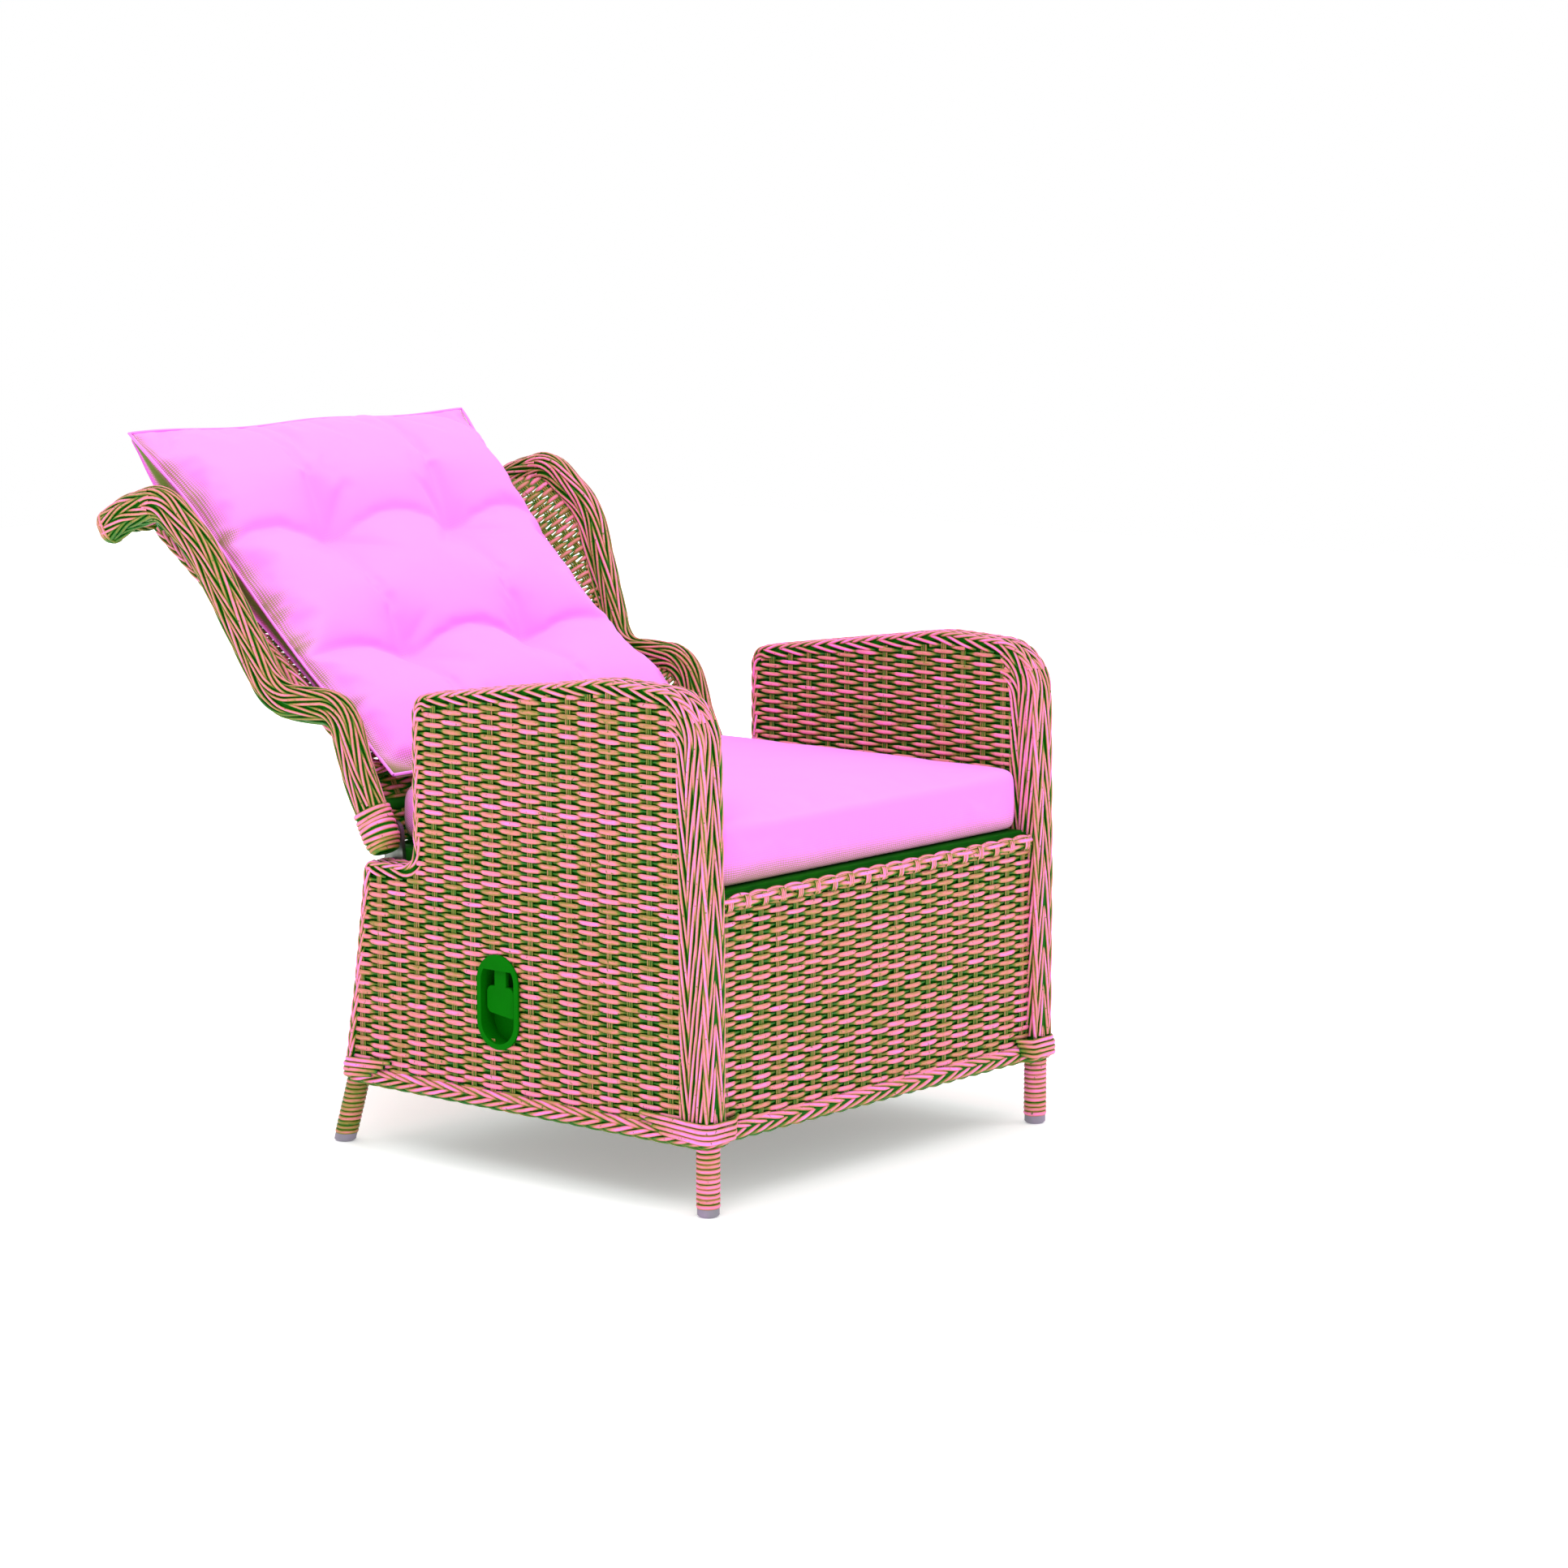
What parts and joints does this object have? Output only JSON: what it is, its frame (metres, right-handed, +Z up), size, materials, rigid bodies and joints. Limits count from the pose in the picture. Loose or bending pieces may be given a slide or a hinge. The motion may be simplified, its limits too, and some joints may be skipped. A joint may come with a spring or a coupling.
{
  "type": "reclining garden armchair",
  "caption": "Reclining garden armchair in round woven wicker over a tube frame, with winged back, side release lever, locking gas spring and loose seat and back cushions.",
  "frame": {"origin": "on the floor, at the middle of the reclined chair's width and depth", "axes": "+X to the sitter's left, +Y to the back of the chair, +Z up"},
  "size_m": [0.7768, 1.0525, 0.9056],
  "materials": {
    "wicker": "round extruded synthetic cane, fine lengthwise grain, woven and braided",
    "frame_tube": "powder coated tube",
    "steel": "zinc plated",
    "spring_paint": "semi-matt",
    "cushion_fabric": "plain woven outdoor fabric, piped edges, tufted back",
    "foot_plastic": "moulded",
    "lever_plastic": "moulded, fine texture",
    "bush_plastic": "moulded",
    "cable_sheath": "smooth",
    "deck_webbing": "woven elastic strap"
  },
  "bodies": {
    "root": {"apron_top_rail": "wicker", "cable_clips": "steel", "end_rims": "wicker", "front_apron": "wicker", "front_feet": "foot_plastic", "front_seat_tube": "frame_tube", "gas_spring_rod": "steel", "hinge_brackets": "steel", "hinge_pins": "steel", "hinge_spacers": "bush_plastic", "left_arm_braid": "wicker", "left_inner_weave": "wicker", "left_outer_weave": "wicker", "left_rim": "wicker", "left_side_frame": "frame_tube", "leg_wraps": "wicker", "lever_axle": "steel", "lever_bezel": "lever_plastic", "lower_cross_tubes": "frame_tube", "rear_feet": "foot_plastic", "rear_skirt": "wicker", "rear_skirt_rail": "wicker", "release_cable": "cable_sheath", "release_head": "steel", "right_arm_braid": "wicker", "right_inner_weave": "wicker", "right_outer_weave": "wicker", "right_rim": "wicker", "right_side_frame": "frame_tube", "seat_cross_tubes": "frame_tube", "seat_cushion": "cushion_fabric", "seat_deck": "deck_webbing", "seat_side_tubes": "frame_tube", "seat_stubs": "frame_tube", "spring_bracket": "steel", "spring_pin": "steel"},
    "back": {"back_tubes": "frame_tube", "left_back_rail": "wicker", "right_back_rail": "wicker", "left_collar": "wicker", "right_collar": "wicker", "back_cross_tube": "frame_tube", "back_lower_tube": "frame_tube", "back_top_tube": "frame_tube", "waist_stubs": "frame_tube", "panel_tubes": "frame_tube", "panel_side_borders": "wicker", "panel_lower_border": "wicker", "panel_top_border": "wicker", "back_panel": "wicker", "left_wing": "wicker", "right_wing": "wicker", "back_cushion": "cushion_fabric", "hinge_bushes": "bush_plastic", "hinge_eyes": "steel", "spring_lever": "steel", "spring_lever_pin": "steel"},
    "gas_spring_cylinder": {"gas_spring_cylinder": "spring_paint"},
    "release_lever": {"release_lever": "lever_plastic"}
  },
  "joints": [
    {"name": "recline", "type": "hinge", "parent": "root", "child": "back", "pos_m": [0, 0.04094, 0.412], "axis": [1, 0, 0], "range_deg": [0, 38]},
    {"name": "gas_spring_slide", "type": "slide", "parent": "root", "child": "gas_spring_cylinder", "axis": [0, 1, 0], "range_m": [0, 0.0445]},
    {"name": "release_lever_turn", "type": "hinge", "parent": "root", "child": "release_lever", "pos_m": [-0.343, -0.18106, 0.2705], "axis": [0, 1, 0], "range_deg": [0, 20], "stiffness_Nm_per_rad": 0.6, "springref_deg": -14.32}
  ],
  "couplings": [
    {"joint": "gas_spring_slide", "follows": "recline", "m_per_rad": 0.066761}
  ]
}
